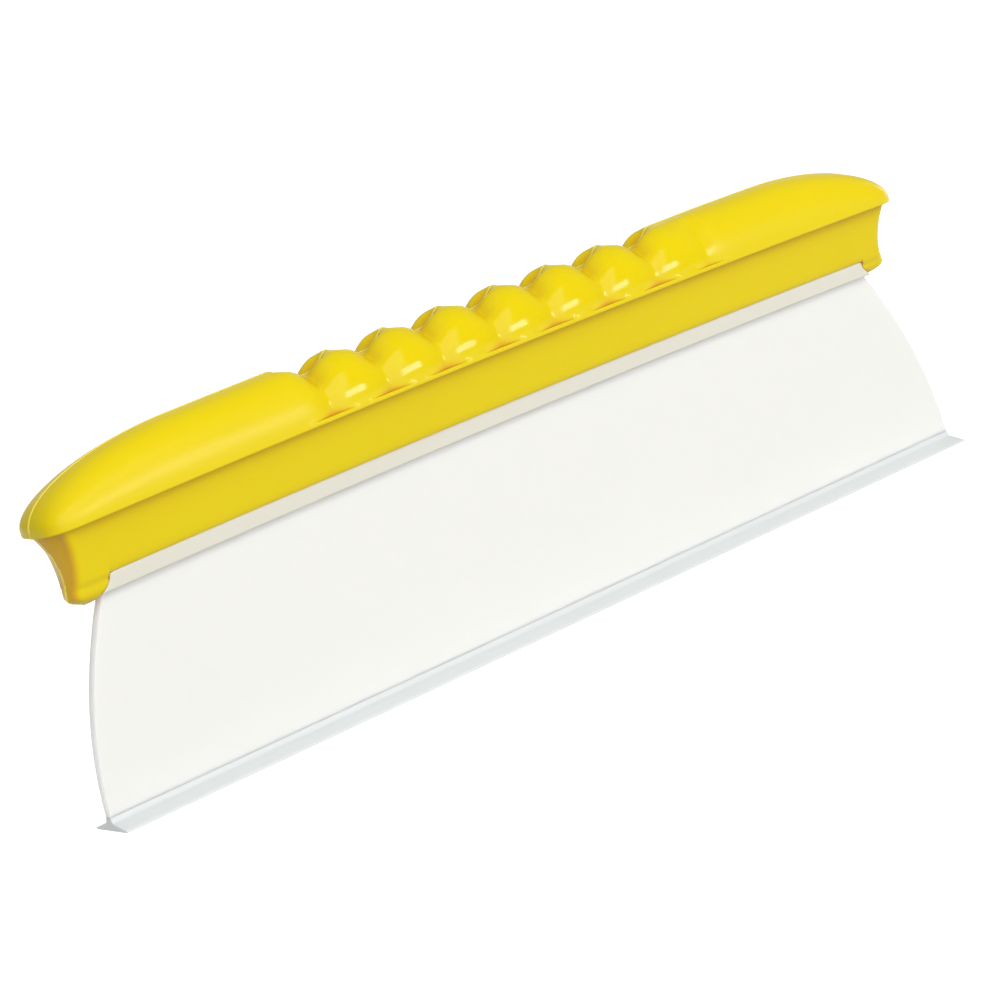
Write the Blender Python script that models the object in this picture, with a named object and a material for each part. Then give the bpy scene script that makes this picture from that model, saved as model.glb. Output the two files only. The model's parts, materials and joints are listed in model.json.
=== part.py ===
"""Hand squeegee with a moulded two-shell handle and a flexible silicone blade.

The handle is a hollow cap over a tapering stem, split on its middle plane into a
front and a rear shell.  The blade's anchor is clamped between the shells' jaws.
The silicone is modelled as three pieces, so that the blade can bend under the
handle and its T-shaped edge can rock: bead, sheet and edge bar.

Frame: X runs along the handle, Y from front (-Y) to rear (+Y), Z up from the
edge bar's flat working face.  All lengths are in metres.
"""

import math

import bmesh
import bpy

MM = 0.001

# Handle, overall
HANDLE_LENGTH = 306.6 * MM
ARCH_RISE = 1.6 * MM                # the handle is this much higher at mid-length
PART_GAP = 0.3 * MM                 # clearance between touching pieces
WALL = 2.4 * MM

# Cap: the rounded upper part that the hand holds
LIP_Z = 78.4 * MM                   # underside of the cap's rim, at the handle's ends
LIP_HALF_WIDTH = 11.6 * MM
RIM_HEIGHT = 1.4 * MM
CAP_HEIGHT = 16.9 * MM              # rim's underside to the top of the cap
CAP_SQUARENESS = 2.15               # exponent of the cap's superellipse section
SWEEP_LENGTH = 47.0 * MM            # length over which the cap's top falls to each tip
NOSE_LENGTH = 13.0 * MM             # length of the rounded end, seen from above
NOSE_SQUARENESS = 2.4

# Finger grooves across the cap
BUMP_COUNT = 7
BUMP_PITCH = 19.55 * MM
BUMP_CENTRE_X = 6.2 * MM
GROOVE_DEPTH_TOP = 4.1 * MM
GROOVE_DEPTH_SIDE = 2.8 * MM
CREST_DROP = 0.2 * MM               # how far the crests lie below the smooth cap
LAST_GROOVE = 0.45                  # share of its depth that the last groove has
SCOOP_SHAPE = 2.1                   # on top each groove is a wide scoop, its crest narrow
LOBE_SHAPE = 2.3                    # on the sides each bump is full, its groove narrow
LOBE_FULLNESS = 0.6
SCOOP_REACH = 0.34                  # share of the half-width over which scoop becomes lobe

# Stem: the tapering wall between the cap and the blade
STEM_BOTTOM_Z = 63.3 * MM
STEM_HALF_WIDTH_TOP = 8.9 * MM
STEM_HALF_WIDTH_BOTTOM = 5.0 * MM
STEM_END_X = 146.8 * MM             # half-length at the neck
STEM_FLARE = 5.2 * MM               # how far the stem's ends flare out under the tips
STEM_CORNER_RADIUS = 2.2 * MM

# Cheeks: the stem's feet beyond the bead's ends
CHEEK_INNER_X = 136.9 * MM
CHEEK_BOTTOM_Z = 58.2 * MM
CHEEK_BULGE = 1.6 * MM

# Jaws inside the stem that hold the blade's anchor
JAW_HALF_GAP = 1.9 * MM
JAW_HEIGHT = 3.7 * MM

# Blade bead and anchor
BEAD_HALF_LENGTH = 136.5 * MM
BEAD_BOTTOM_Z = 58.6 * MM
BEAD_HALF_WIDTH = 4.3 * MM
NECK_HALF_WIDTH = 1.6 * MM
ANCHOR_HALF_WIDTH = 3.1 * MM
ANCHOR_HEIGHT = 3.0 * MM

# Blade sheet
SHEET_TOP_HINGE_Z = 56.5 * MM       # axis on which the sheet bends under the bead
SHEET_TOP_RADIUS = 1.7 * MM         # half its thickness there
EDGE_HINGE_Z = 3.6 * MM             # axis on which the edge bar rocks
SHEET_EDGE_RADIUS = 1.2 * MM
SHEET_HALF_LENGTH = 156.0 * MM      # at the edge bar
SHEET_END_BOW = 15.8 * MM           # how much shorter each end is at the top

# Edge bar, an inverted T
BAR_HALF_LENGTH = 156.0 * MM
BAR_HALF_WIDTH = 8.2 * MM
BAR_LIP_THICKNESS = 0.7 * MM
BAR_TOP_HALF_WIDTH = 1.4 * MM
BAR_TOP_Z = 2.05 * MM

# Locating pins of the front shell and their sockets in the rear shell
PIN_Z = 86.5 * MM
PIN_XS = (-115.0 * MM, BUMP_CENTRE_X - 3 * BUMP_PITCH,
          BUMP_CENTRE_X + 3 * BUMP_PITCH, 115.0 * MM)
BOSS_RADIUS = 2.2 * MM
BOSS_REACH = 9.1 * MM               # how far each boss runs towards its shell's wall
PIN_RADIUS = 1.1 * MM
PIN_LENGTH = 4.0 * MM
SOCKET_RADIUS = 1.4 * MM
SOCKET_DEPTH = 5.0 * MM

# Stiffening ribs, one plate in each shell at each place
RIB_XS = (-95.0 * MM, BUMP_CENTRE_X - 2 * BUMP_PITCH,
          BUMP_CENTRE_X, BUMP_CENTRE_X + 2 * BUMP_PITCH, 100.0 * MM)
RIB_THICKNESS = 1.6 * MM
RIB_BOTTOM_Z = 73.2 * MM
RIB_TOP_Z = 89.5 * MM

# Mesh density
OUTER_DOME_ROWS = 6
INNER_DOME_ROWS = 4
STEM_ROWS = 4
NOSE_COLUMNS = 6

YELLOW = (0.80, 0.62, 0.012, 1.0)
SILICONE_BEAD = (0.74, 0.72, 0.66, 1.0)
SILICONE_SHEET = (0.90, 0.90, 0.87, 1.0)
SILICONE_EDGE = (0.78, 0.81, 0.82, 1.0)


# ---------------------------------------------------------------- shape rules

def arch(x):
    """Height that the handle's slight arch adds at x."""
    return ARCH_RISE * max(0.0, 1.0 - (2.0 * x / HANDLE_LENGTH) ** 2)


def valley_xs():
    """X of each groove bottom, on both sides of every bump."""
    first = BUMP_CENTRE_X - BUMP_COUNT * BUMP_PITCH / 2.0
    return [first + i * BUMP_PITCH for i in range(BUMP_COUNT + 1)]


def smooth(t):
    """Smooth step from 0 to 1."""
    t = min(1.0, max(0.0, t))
    return t * t * (3.0 - 2.0 * t)


def groove(x, across):
    """Groove fraction at x: 1 in a groove's bottom, 0 on a crest or smooth cap.

    across is 0 at the cap's top seam and 1 at its rim.
    """
    valleys = valley_xs()
    away = min(abs(x - valley) for valley in valleys)
    u = min(1.0, away / (BUMP_PITCH / 2.0))
    scoop = math.sin(0.5 * math.pi * u ** SCOOP_SHAPE) ** 2
    lobe = (1.0 - (1.0 - u) ** LOBE_SHAPE) ** LOBE_FULLNESS
    cut = 1.0 - scoop - (lobe - scoop) * smooth(across / SCOOP_REACH)
    if x > valleys[-1] - BUMP_PITCH / 2.0:
        cut *= LAST_GROOVE * smooth((across - 0.3) / 0.6)
    return cut


def crest_drop(x):
    """How far the whole row of bumps lies below the smooth cap at x."""
    half = BUMP_PITCH / 2.0
    valleys = valley_xs()
    enter = smooth((x - valleys[0] + half) / half)
    leave = smooth((valleys[-1] + half - x) / BUMP_PITCH)
    return CREST_DROP * min(enter, leave)


def cap_rise(x, inset):
    """Height of the cap's smooth top above its rim at x."""
    full = CAP_HEIGHT - RIM_HEIGHT - inset
    tip = HANDLE_LENGTH / 2.0 - inset
    into_sweep = (abs(x) - (tip - SWEEP_LENGTH)) / SWEEP_LENGTH
    if into_sweep <= 0.0:
        return full
    return full * math.sqrt(max(0.0, 1.0 - into_sweep ** 2))


def cap_outline(station, inset):
    """X and half-width of the cap's rim at a station."""
    x, around, side = station
    half_width = LIP_HALF_WIDTH - inset
    if side == 0:
        return x, half_width
    start = HANDLE_LENGTH / 2.0 - NOSE_LENGTH
    angle = 0.5 * math.pi * around
    power = 2.0 / NOSE_SQUARENESS
    reach = (NOSE_LENGTH - inset) * math.sin(angle) ** power
    return side * (start + reach), half_width * max(0.0, math.cos(angle)) ** power


def cap_point(station, row_angle, inset):
    """Point on the cap's dome; row_angle is 90 degrees at the top seam."""
    x, half_width = cap_outline(station, inset)
    power = 2.0 / CAP_SQUARENESS
    across = max(0.0, math.cos(row_angle)) ** power
    up = max(0.0, math.sin(row_angle)) ** power
    cut = groove(x, across)
    half_width -= GROOVE_DEPTH_SIDE * cut * min(1.0, half_width / LIP_HALF_WIDTH)
    rise = cap_rise(x, inset) - GROOVE_DEPTH_TOP * cut - crest_drop(x)
    base = LIP_Z + RIM_HEIGHT + arch(x)
    return x, half_width * across, base + rise * up


def stem_half_width(z):
    """Half-width of the stem's flat, sloping wall at height z."""
    rate = (STEM_HALF_WIDTH_TOP - STEM_HALF_WIDTH_BOTTOM) / (LIP_Z - STEM_BOTTOM_Z)
    return STEM_HALF_WIDTH_BOTTOM + rate * max(0.0, z - STEM_BOTTOM_Z)


def stem_end_x(z):
    """Half-length of the stem on the middle plane: flared top, neck, bulging cheek."""
    neck_z = STEM_BOTTOM_Z + 1.2 * MM
    if z >= neck_z:
        return STEM_END_X + STEM_FLARE * ((z - neck_z) / (LIP_Z - neck_z)) ** 2.2
    depth = (neck_z - z) / (neck_z - CHEEK_BOTTOM_Z)
    bulge = CHEEK_BULGE * math.sin(math.pi * min(1.0, depth * 0.8))
    round_off = 4.0 * MM * max(0.0, (depth - 0.55) / 0.45) ** 2
    return STEM_END_X + bulge - round_off


def stem_outline(station, z, inset):
    """X and half-width of the stem at a station and height."""
    x, around, side = station
    width = stem_half_width(z) - inset
    if side == 0:
        return x, width
    start = HANDLE_LENGTH / 2.0 - NOSE_LENGTH
    end = stem_end_x(z) - inset
    up = max(0.0, (z - STEM_BOTTOM_Z) / (LIP_Z - STEM_BOTTOM_Z))
    setback = (0.3 + 3.4 * up ** 1.5) * MM
    radius = STEM_CORNER_RADIUS
    corner_end = end - setback
    if around < 0.3:
        reach = start + (corner_end - radius - start) * around / 0.3
        return side * reach, width
    if around < 0.7:
        angle = 0.5 * math.pi * (around - 0.3) / 0.4
        reach = corner_end - radius + radius * math.sin(angle)
        return side * reach, width - radius + radius * math.cos(angle)
    across = (1.0 - around) / 0.3
    half = (width - radius) * across
    return side * (end - setback * across ** 2), half


def bottom_z(station):
    """Height of the stem's lower edge: low at the cheeks, arched between them."""
    x, around, side = station
    if side != 0:
        return CHEEK_BOTTOM_Z
    past = abs(x) - CHEEK_INNER_X
    middle = STEM_BOTTOM_Z + arch(x)
    if past <= 0.0:
        return middle
    fall = math.sqrt(min(1.0, past / (2.0 * MM)))
    return middle + (CHEEK_BOTTOM_Z - middle) * fall


# ---------------------------------------------------------------- shell meshes

def stations():
    """Places along the handle: (x, part of the way round the nose, side)."""
    straight = HANDLE_LENGTH / 2.0 - NOSE_LENGTH
    xs = [0.78 * MM, 0.3 * MM, 0.0]
    xs = [CHEEK_INNER_X + step for step in xs]
    xs += [134.0 * MM, 128.0 * MM, 121.0 * MM, 113.0 * MM, 104.0 * MM, 88.0 * MM]
    xs += [-x for x in xs]
    valleys = valley_xs()
    half = BUMP_PITCH / 2.0
    for index, valley in enumerate(valleys):
        for part in (0.0, 0.1, 0.28, 0.55, 0.8):
            xs.append(valley + part * half)
            if part > 0.0:
                xs.append(valley - part * half)
        if index < BUMP_COUNT:
            xs.append(valley + half)
    xs += [valleys[0] - half, valleys[-1] + half, -straight, straight]
    line = [(x, 0.0, 0) for x in sorted(set(xs))]
    turn = [(i + 1) / NOSE_COLUMNS for i in range(NOSE_COLUMNS)]
    left = [(0.0, around, -1) for around in reversed(turn)]
    right = [(0.0, around, 1) for around in turn]
    return left + line + right


def section(station):
    """Closed loop of (x, half-width, z) round the shell's wall at a station."""
    x, around, side = station
    low = bottom_z(station)
    rim_x, rim_width = cap_outline(station, 0.0)
    lip = LIP_Z + arch(rim_x)
    loop = []
    for row in range(OUTER_DOME_ROWS + 1):
        angle = 0.5 * math.pi * (1.0 - row / OUTER_DOME_ROWS)
        loop.append(cap_point(station, angle, 0.0))
    loop.append((rim_x, rim_width, lip + RIM_HEIGHT - 0.2 * MM))
    loop.append((rim_x, rim_width, lip))
    cheek_edge = low + 1.5 * MM
    for row in range(STEM_ROWS + 1):
        z = lip + (cheek_edge - lip) * row / STEM_ROWS
        loop.append(stem_outline(station, z, 0.0) + (z,))
    edge_x, edge_width = stem_outline(station, low, 1.0 * MM)
    loop.append((edge_x, edge_width, low))
    in_slot = side == 0 and abs(x) <= CHEEK_INNER_X
    jaw = JAW_HALF_GAP if in_slot else 0.0
    floor_z = STEM_BOTTOM_Z + JAW_HEIGHT + (arch(x) if side == 0 else 0.0)
    jaw_x = x
    if side != 0:
        start = HANDLE_LENGTH / 2.0 - NOSE_LENGTH
        jaw_x = side * (start + 3.0 * MM * around)
    loop.append((jaw_x, jaw, low))
    loop.append((jaw_x, jaw, floor_z))
    inner_x, inner_width = stem_outline(station, floor_z, WALL)
    loop.append((inner_x, inner_width, floor_z + 0.3 * MM))
    step_z = lip - 0.5 * MM
    loop.append(stem_outline(station, step_z, WALL) + (step_z,))
    for row in range(INNER_DOME_ROWS + 1):
        angle = 0.5 * math.pi * row / INNER_DOME_ROWS
        x_in, width_in, z_in = cap_point(station, angle, WALL)
        loop.append((x_in, width_in, z_in))
    return loop


def shell_mesh(name, side):
    """Half of the handle as one closed body; side is -1 for front, +1 for rear."""
    mesh = bmesh.new()
    rings = []
    for station in stations():
        ring = []
        for x, width, z in section(station):
            y = side * max(width, PART_GAP / 2.0)
            ring.append(mesh.verts.new((x, y, z)))
        rings.append(ring)
    count = len(rings[0])
    for left, right in zip(rings, rings[1:]):
        for i in range(count):
            j = (i + 1) % count
            mesh.faces.new((left[i], left[j], right[j], right[i]))
    mesh.faces.new(rings[0])
    mesh.faces.new(list(reversed(rings[-1])))
    bmesh.ops.remove_doubles(mesh, verts=mesh.verts, dist=0.002 * MM)
    bmesh.ops.triangulate(mesh, faces=mesh.faces)
    bmesh.ops.dissolve_degenerate(mesh, dist=0.001 * MM, edges=mesh.edges)
    mesh.normal_update()
    bmesh.ops.recalc_face_normals(mesh, faces=mesh.faces)
    return finish_mesh(name, mesh)


# ---------------------------------------------------------------- mesh helpers

def finish_mesh(name, mesh):
    """Turn a bmesh into a mesh datablock, smooth except at real edges."""
    data = bpy.data.meshes.new(name)
    mesh.to_mesh(data)
    mesh.free()
    data.shade_smooth()
    data.set_sharp_from_angle(angle=math.radians(40.0))
    return data


def place(name, data, material, origin=(0.0, 0.0, 0.0)):
    """Object at an origin, with its mesh shifted so the shape stays put."""
    shape = bpy.data.objects.new(name, data)
    for vertex in data.vertices:
        vertex.co.x -= origin[0]
        vertex.co.y -= origin[1]
        vertex.co.z -= origin[2]
    shape.location = origin
    data.materials.append(material)
    bpy.context.scene.collection.objects.link(shape)
    return shape


def loft(name, rings):
    """Closed body through a list of rings with the same number of points."""
    mesh = bmesh.new()
    made = [[mesh.verts.new(point) for point in ring] for ring in rings]
    count = len(rings[0])
    for low, high in zip(made, made[1:]):
        for i in range(count):
            j = (i + 1) % count
            mesh.faces.new((low[i], low[j], high[j], high[i]))
    mesh.faces.new(made[0])
    mesh.faces.new(list(reversed(made[-1])))
    mesh.normal_update()
    bmesh.ops.recalc_face_normals(mesh, faces=mesh.faces)
    return finish_mesh(name, mesh)


def plastic(name, color, roughness):
    """Opaque moulded plastic or rubber."""
    material = bpy.data.materials.new(name)
    material.use_nodes = True
    shader = material.node_tree.nodes["Principled BSDF"]
    shader.inputs["Base Color"].default_value = color
    shader.inputs["Roughness"].default_value = roughness
    shader.inputs["Metallic"].default_value = 0.0
    material.diffuse_color = color
    return material


def round_bar(name, x, y_from, y_to, radius):
    """Cylinder along Y between two depths."""
    mesh = bmesh.new()
    bmesh.ops.create_cone(mesh, cap_ends=True, segments=16, radius1=radius,
                          radius2=radius, depth=abs(y_to - y_from))
    for vertex in mesh.verts:
        along = vertex.co.z + (y_from + y_to) / 2.0
        vertex.co = (x + vertex.co.x, along, PIN_Z + arch(x) - vertex.co.y)
    return helper(name, mesh)


def rib_plate(name, x, side):
    """Stiffening plate across one shell, from its stem wall to its cap."""
    low = stem_half_width(RIB_BOTTOM_Z) - 1.2 * MM
    high = stem_half_width(LIP_Z) - 1.2 * MM
    cap = LIP_HALF_WIDTH - 1.7 * MM
    outline = [(PART_GAP / 2.0, RIB_BOTTOM_Z), (low, RIB_BOTTOM_Z),
               (high, LIP_Z), (cap, LIP_Z + 3.5 * MM),
               (cap, LIP_Z + 7.0 * MM), (0.78 * cap, RIB_TOP_Z),
               (PART_GAP / 2.0, RIB_TOP_Z)]
    mesh = bmesh.new()
    rings = []
    for end in (-0.5, 0.5):
        at = x + end * RIB_THICKNESS
        rings.append([mesh.verts.new((at, side * w, z)) for w, z in outline])
    count = len(outline)
    for i in range(count):
        j = (i + 1) % count
        mesh.faces.new((rings[0][i], rings[0][j], rings[1][j], rings[1][i]))
    mesh.faces.new(rings[0])
    mesh.faces.new(list(reversed(rings[1])))
    mesh.normal_update()
    bmesh.ops.recalc_face_normals(mesh, faces=mesh.faces)
    return helper(name, mesh)


def helper(name, mesh):
    """Hidden object that a Boolean reads."""
    data = bpy.data.meshes.new(name)
    mesh.to_mesh(data)
    mesh.free()
    shape = bpy.data.objects.new(name, data)
    shape.hide_render = True
    shape.display_type = "WIRE"
    bpy.context.scene.collection.objects.link(shape)
    return shape


def combine(shape, tool, operation):
    """Boolean modifier on shape."""
    step = shape.modifiers.new(tool.name, "BOOLEAN")
    step.operation = operation
    step.solver = "EXACT"
    step.object = tool


# ---------------------------------------------------------------- the pieces

def build_shell(name, side, material):
    """Front (-1) or rear (+1) shell with its ribs and its pins or sockets."""
    shell = place(name, shell_mesh(name, side), material)
    face = side * PART_GAP / 2.0
    for index, x in enumerate(RIB_XS):
        combine(shell, rib_plate(f"{name}_rib_{index}", x, side), "UNION")
    for index, x in enumerate(PIN_XS):
        boss = round_bar(f"{name}_boss_{index}", x, face, side * BOSS_REACH, BOSS_RADIUS)
        combine(shell, boss, "UNION")
        if side < 0:
            pin = round_bar(f"{name}_pin_{index}", x, -2.0 * MM, PIN_LENGTH, PIN_RADIUS)
            combine(shell, pin, "UNION")
        else:
            socket = round_bar(f"{name}_socket_{index}", x, -1.0 * MM, SOCKET_DEPTH,
                               SOCKET_RADIUS)
            combine(shell, socket, "DIFFERENCE")
    return shell


def build_bead(material):
    """Visible bead, neck and anchor: the blade's root, fixed in the handle."""
    neck_z = STEM_BOTTOM_Z - PART_GAP
    anchor_z = STEM_BOTTOM_Z + JAW_HEIGHT + PART_GAP
    soft = 0.8 * MM
    half = [(BEAD_HALF_WIDTH - soft, BEAD_BOTTOM_Z), (BEAD_HALF_WIDTH, BEAD_BOTTOM_Z + soft),
            (BEAD_HALF_WIDTH, neck_z), (NECK_HALF_WIDTH, neck_z),
            (NECK_HALF_WIDTH, anchor_z), (ANCHOR_HALF_WIDTH, anchor_z),
            (ANCHOR_HALF_WIDTH, anchor_z + ANCHOR_HEIGHT)]
    outline = half + [(-w, z) for w, z in reversed(half)]
    steps = 16
    rings = []
    for i in range(steps + 1):
        x = BEAD_HALF_LENGTH * (2.0 * i / steps - 1.0)
        ring = []
        for w, z in outline:
            follows = 0.0 if z < neck_z - soft else arch(x)
            ring.append((x, w, z + follows))
        rings.append(ring)
    return place("blade_bead", loft("blade_bead", rings), material)


def sheet_half_length(z):
    """Half-length of the sheet at height z; its ends bow outwards."""
    return SHEET_HALF_LENGTH - SHEET_END_BOW * (z / SHEET_TOP_HINGE_Z) ** 2


def build_sheet(material):
    """Tapering sheet with rounded upper and lower edges on its two bending axes."""
    profile = []
    for angle in (-90.0, -60.0, -30.0):
        turn = math.radians(angle)
        profile.append((SHEET_EDGE_RADIUS * math.cos(turn),
                        EDGE_HINGE_Z + SHEET_EDGE_RADIUS * math.sin(turn)))
    span = SHEET_TOP_HINGE_Z - EDGE_HINGE_Z
    rows = 12
    for i in range(rows + 1):
        part = i / rows
        radius = SHEET_EDGE_RADIUS + (SHEET_TOP_RADIUS - SHEET_EDGE_RADIUS) * part
        profile.append((radius, EDGE_HINGE_Z + span * part))
    for angle in (30.0, 60.0, 90.0):
        turn = math.radians(angle)
        profile.append((SHEET_TOP_RADIUS * math.cos(turn),
                        SHEET_TOP_HINGE_Z + SHEET_TOP_RADIUS * math.sin(turn)))
    rings = []
    for half_thickness, z in profile:
        x = sheet_half_length(z)
        t = max(half_thickness, 0.15 * MM)
        rings.append([(-x, -t, z), (x, -t, z), (x, t, z), (-x, t, z)])
    origin = (0.0, 0.0, SHEET_TOP_HINGE_Z)
    return place("blade_sheet", loft("blade_sheet", rings), material, origin)


def build_edge_bar(material):
    """Inverted T along the sheet's free edge, with a flat working face."""
    half = [(BAR_HALF_WIDTH, 0.0), (BAR_HALF_WIDTH, BAR_LIP_THICKNESS),
            (BAR_TOP_HALF_WIDTH, BAR_TOP_Z)]
    outline = half + [(-w, z) for w, z in reversed(half)]
    rings = [[(x, w, z) for w, z in outline] for x in (-BAR_HALF_LENGTH, BAR_HALF_LENGTH)]
    origin = (0.0, 0.0, EDGE_HINGE_Z)
    return place("edge_bar", loft("edge_bar", rings), material, origin)


def main():
    for old in list(bpy.data.objects):
        bpy.data.objects.remove(old)
    front = plastic("front_shell_plastic", YELLOW, 0.28)
    rear = plastic("rear_shell_plastic", YELLOW, 0.28)
    build_shell("front_shell", -1, front)
    build_shell("rear_shell", 1, rear)
    build_bead(plastic("bead_silicone", SILICONE_BEAD, 0.45))
    build_sheet(plastic("sheet_silicone", SILICONE_SHEET, 0.35))
    build_edge_bar(plastic("edge_silicone", SILICONE_EDGE, 0.4))


main()
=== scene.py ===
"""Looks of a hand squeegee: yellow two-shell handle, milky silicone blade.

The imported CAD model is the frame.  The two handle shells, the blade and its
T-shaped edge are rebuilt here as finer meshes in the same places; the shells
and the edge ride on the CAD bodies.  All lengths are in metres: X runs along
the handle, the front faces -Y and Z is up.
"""

import json
import math

import bmesh
import bpy
from mathutils import Matrix, Vector


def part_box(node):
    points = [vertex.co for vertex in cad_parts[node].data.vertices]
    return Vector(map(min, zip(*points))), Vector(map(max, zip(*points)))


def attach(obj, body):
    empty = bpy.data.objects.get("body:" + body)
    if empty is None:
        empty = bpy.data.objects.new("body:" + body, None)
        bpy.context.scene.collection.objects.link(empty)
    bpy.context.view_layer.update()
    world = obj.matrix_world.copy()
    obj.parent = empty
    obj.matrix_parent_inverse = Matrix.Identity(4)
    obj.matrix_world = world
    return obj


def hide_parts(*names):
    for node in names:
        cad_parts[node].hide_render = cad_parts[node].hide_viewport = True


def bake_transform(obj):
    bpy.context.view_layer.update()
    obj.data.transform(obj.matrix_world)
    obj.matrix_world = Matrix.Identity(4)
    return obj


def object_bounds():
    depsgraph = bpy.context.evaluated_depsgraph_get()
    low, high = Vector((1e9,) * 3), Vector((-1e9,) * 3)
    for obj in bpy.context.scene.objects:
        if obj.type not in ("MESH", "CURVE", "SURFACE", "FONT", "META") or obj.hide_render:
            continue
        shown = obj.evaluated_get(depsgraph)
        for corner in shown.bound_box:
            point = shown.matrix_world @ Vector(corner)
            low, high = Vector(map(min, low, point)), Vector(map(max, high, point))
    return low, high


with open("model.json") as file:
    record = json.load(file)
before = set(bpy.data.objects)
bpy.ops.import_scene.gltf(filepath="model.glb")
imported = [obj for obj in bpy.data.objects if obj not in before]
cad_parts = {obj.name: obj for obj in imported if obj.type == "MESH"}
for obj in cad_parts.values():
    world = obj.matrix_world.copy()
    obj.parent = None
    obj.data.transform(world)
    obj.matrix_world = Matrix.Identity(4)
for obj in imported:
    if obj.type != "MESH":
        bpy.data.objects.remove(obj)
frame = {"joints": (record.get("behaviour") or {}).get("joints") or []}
CAD_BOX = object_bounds()

MM = 0.001

BEAD_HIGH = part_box("blade_bead")[1]
BAR_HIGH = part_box("edge_bar")[1]
JOINT_Z = {joint["name"]: joint["pos_m"][2] for joint in frame["joints"]}

# Handle, overall
HALF_LENGTH = 152.7 * MM
ARCH_RISE = 1.6 * MM                # the handle is this much higher at mid-length
SPLIT_GAP = 0.03 * MM               # half the hairline between the two shells
WALL = 2.4 * MM

# Cap: the rounded part that the hand holds
LIP_HALF_WIDTH = 11.6 * MM
LIP_Z = 78.4 * MM                   # underside of the cap's rim
RIM_HEIGHT = 1.4 * MM               # upright band below the dome
CAP_TOP = 95.3 * MM
CAP_SQUARENESS = 2.15               # 2 makes the dome's section an ellipse
SWEEP_LENGTH = 47.0 * MM            # over which the top falls to each end
NOSE_LENGTH = 13.0 * MM             # over which the rim rounds off in plan
NOSE_SQUARENESS = 3.0
DOME_ROWS = 22
SEAM_ROWS = (0.0, 0.14, 0.28, 0.38, 0.48, 0.62, 0.85)   # millimetres from the seam
# Rim's lower corner: (millimetres inwards, share of the rim's height)
RIM_CORNER = ((0.0, 0.92), (0.0, 0.55), (0.0, 0.3), (0.07, 0.13), (0.2, 0.03), (0.45, 0.0))
# Underside of the rim: (share of the way to the stem, millimetres down)
RIM_UNDERSIDE = ((0.5, 0.0), (0.86, 0.0), (0.96, 0.12))

# Finger grooves; "across" is 0 at the top seam and 1 at the rim
BUMP_COUNT = 7
BUMP_PITCH = 19.55 * MM
BUMP_CENTRE_X = 6.2 * MM
HALF_PITCH = BUMP_PITCH / 2.0
GROOVE_DEPTH_TOP = 4.1 * MM
GROOVE_DEPTH_SIDE = 2.5 * MM
CREST_DROP = 0.2 * MM               # how far the crests lie below the smooth cap
SCOOP_SHAPE = 2.1                   # on top each groove is a wide scoop and its crest narrow
SCOOP_REACH = 0.34                  # across at which the scoop has turned into a lobe
LOBE_SHAPE = 2.3                    # on the sides each bump is a full lobe and its groove narrow
LOBE_FULLNESS = 0.75
VALLEY_SOFTNESS = 0.2               # rounds the grooves' bottoms
RIM_FADE = 0.5                      # share of its depth that a groove loses at the rim
RIM_FADE_START = 0.6                # across at which that loss begins
LAST_GROOVE = 0.45                  # share of its depth that the last groove has
LAST_GROOVE_START = 0.3             # across at which the last groove begins
LAST_GROOVE_REACH = 0.6
STATIONS_PER_HALF_BUMP = 12
STATION_STEP = 2.5 * MM             # between cross-sections on the plain stretches

# Stem
STEM_BOTTOM_Z = 63.3 * MM
STEM_HALF_WIDTH_TOP = 8.9 * MM
STEM_HALF_WIDTH_BOTTOM = 5.0 * MM
STEM_END_X = {-1: 147.6 * MM, 1: 146.0 * MM}
STEM_TOP_X = 152.0 * MM             # where the stem's flared ends meet the cap
STEM_CORNER_RADIUS = 2.4 * MM
STEM_FLARE = 2.2                    # power of the curve from the neck to the cap
STEM_NECK_Z = STEM_BOTTOM_Z + 1.0 * MM
STEM_ROWS = 9
STEM_END_FLAT = 0.3                 # share of the way round an end before its corner
STEM_END_CORNER = 0.4               # share that the corner itself takes
# Lower edge: (share of the way down, millimetres inwards between the cheeks)
LOWER_EDGE = ((0.1, 0.04), (0.22, 0.12), (0.34, 0.2), (0.46, 0.2), (0.58, 0.2), (0.7, 0.2),
              (0.8, 0.24), (0.88, 0.3), (0.94, 0.42), (0.98, 0.6))

# Cheeks beyond the bead's ends
CHEEK_INNER_X = 136.9 * MM
CHEEK_BOTTOM_Z = {-1: 57.6 * MM, 1: 59.0 * MM}
CHEEK_BULGE = {-1: 0.7 * MM, 1: 1.3 * MM}
CHEEK_LEAN = 5.0 * MM               # how far the inner edge curves outwards at the bottom
CHEEK_LEAN_REACH = 8.0 * MM         # from the inner edge to where nothing leans any more
CHEEK_STEP = 0.8 * MM               # length over which the lower edge drops to the cheek
CHEEK_TUCK = 0.75 * MM              # how far the cheeks lie inside the stem's wall
CHEEK_ROUNDING = 3.2                # power of the cheek's section
CHEEK_END_ROUND = 5.0 * MM          # how much the end rounds off at the bottom
CHEEK_END_START = 0.6               # share of the cheek's height where that begins

# Raised parting line left by the mould
PARTING_HEIGHT = 0.22 * MM
PARTING_FLAT = 0.3 * MM
PARTING_FADE = 0.6 * MM
PARTING_HIGHLIGHT_BAND = 0.5 * MM            # faces nearer to the middle plane take the paler finish, a painted highlight on the ridge

# Jaws that hold the blade's neck
JAW_HALF_GAP = 1.9 * MM
JAW_HEIGHT = 3.7 * MM
NECK_HEIGHT = 2.6 * MM

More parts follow.
